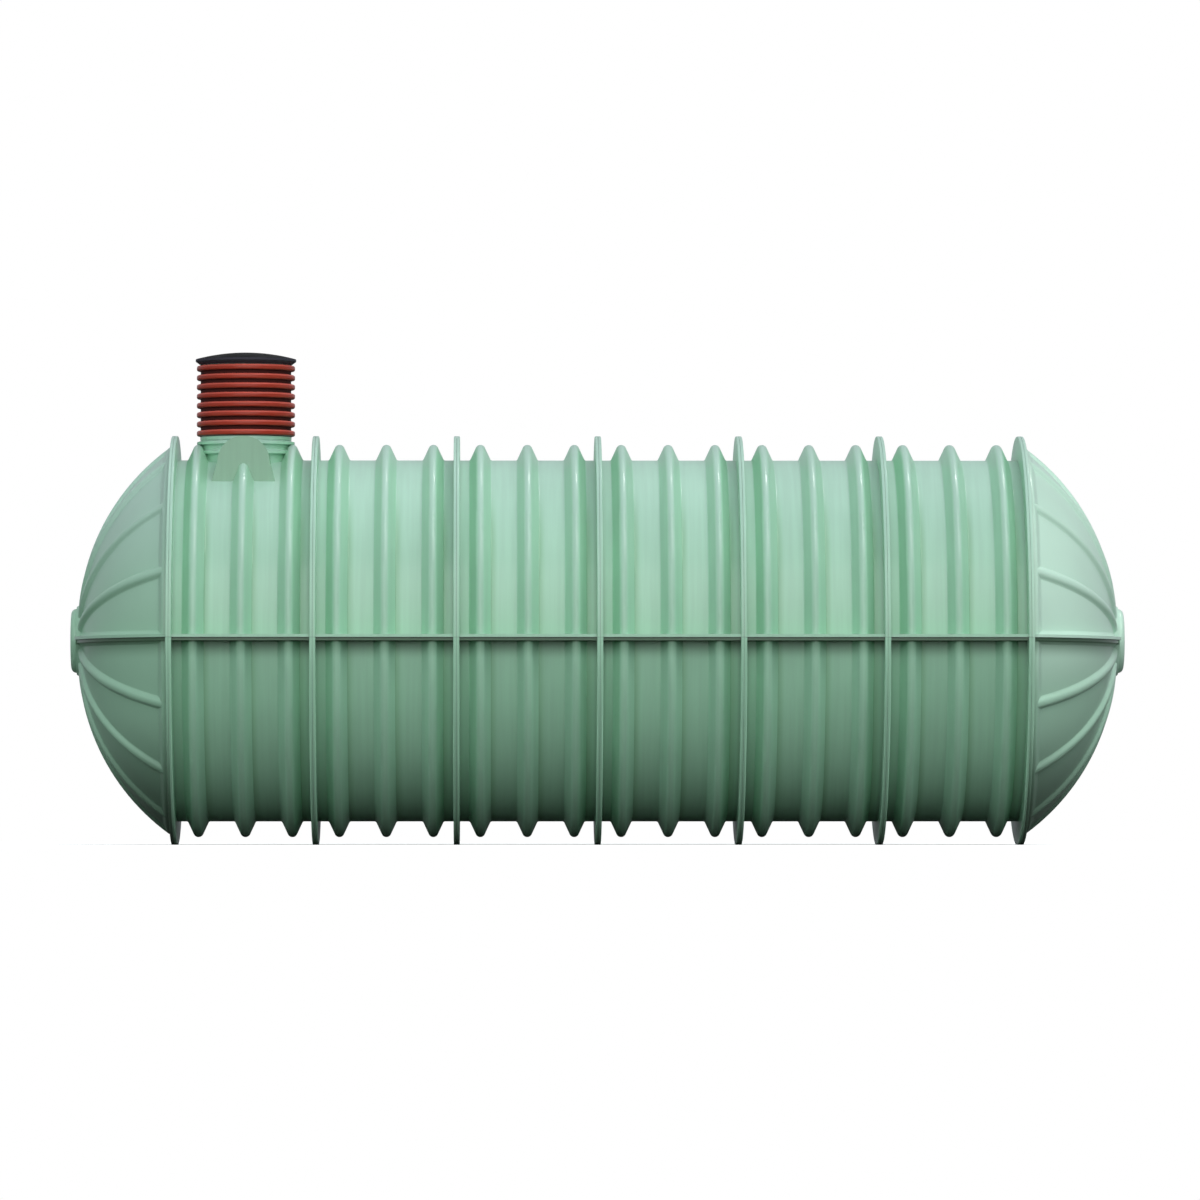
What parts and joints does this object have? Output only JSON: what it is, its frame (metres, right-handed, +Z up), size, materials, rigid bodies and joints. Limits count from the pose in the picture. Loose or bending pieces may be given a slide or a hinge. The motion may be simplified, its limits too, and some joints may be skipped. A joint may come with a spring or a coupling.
{
  "type": "septic tank",
  "caption": "Horizontal septic tank of ribbed half shells with domed ribbed ends, a corrugated manhole riser and a round lid.",
  "frame": {"origin": "on the floor under the middle of the tank", "axes": "+X along the tank, away from the manhole; +Y to the rear; +Z up"},
  "size_m": [7.1738, 2.792, 3.3098],
  "materials": {
    "shell": "pale green moulded glass-fibre plastic, satin",
    "riser": "brick-red corrugated pipe, satin",
    "lid": "black moulded plastic",
    "seal": "dull sealing compound"
  },
  "bodies": {
    "root": {"front_inlet_boss": "shell", "front_seam_seal": "seal", "left_dome_lower": "shell", "left_dome_upper": "shell", "left_hub_disc": "shell", "lid_seal": "seal", "manhole_lid": "lid", "manhole_neck": "shell", "module_1_lower": "shell", "module_1_upper": "shell", "module_2_lower": "shell", "module_2_upper": "shell", "module_3_lower": "shell", "module_3_upper": "shell", "module_4_lower": "shell", "module_4_upper": "shell", "module_5_lower": "shell", "module_5_upper": "shell", "module_6_lower": "shell", "module_6_upper": "shell", "rear_inlet_boss": "shell", "rear_seam_seal": "seal", "right_dome_lower": "shell", "right_dome_upper": "shell", "right_hub_disc": "shell", "ring_seal_1": "seal", "ring_seal_2": "seal", "ring_seal_3": "seal", "ring_seal_4": "seal", "ring_seal_5": "seal", "ring_seal_6": "seal", "ring_seal_7": "seal", "riser_pipe": "riser", "riser_seal": "seal"}
  },
  "joints": []
}
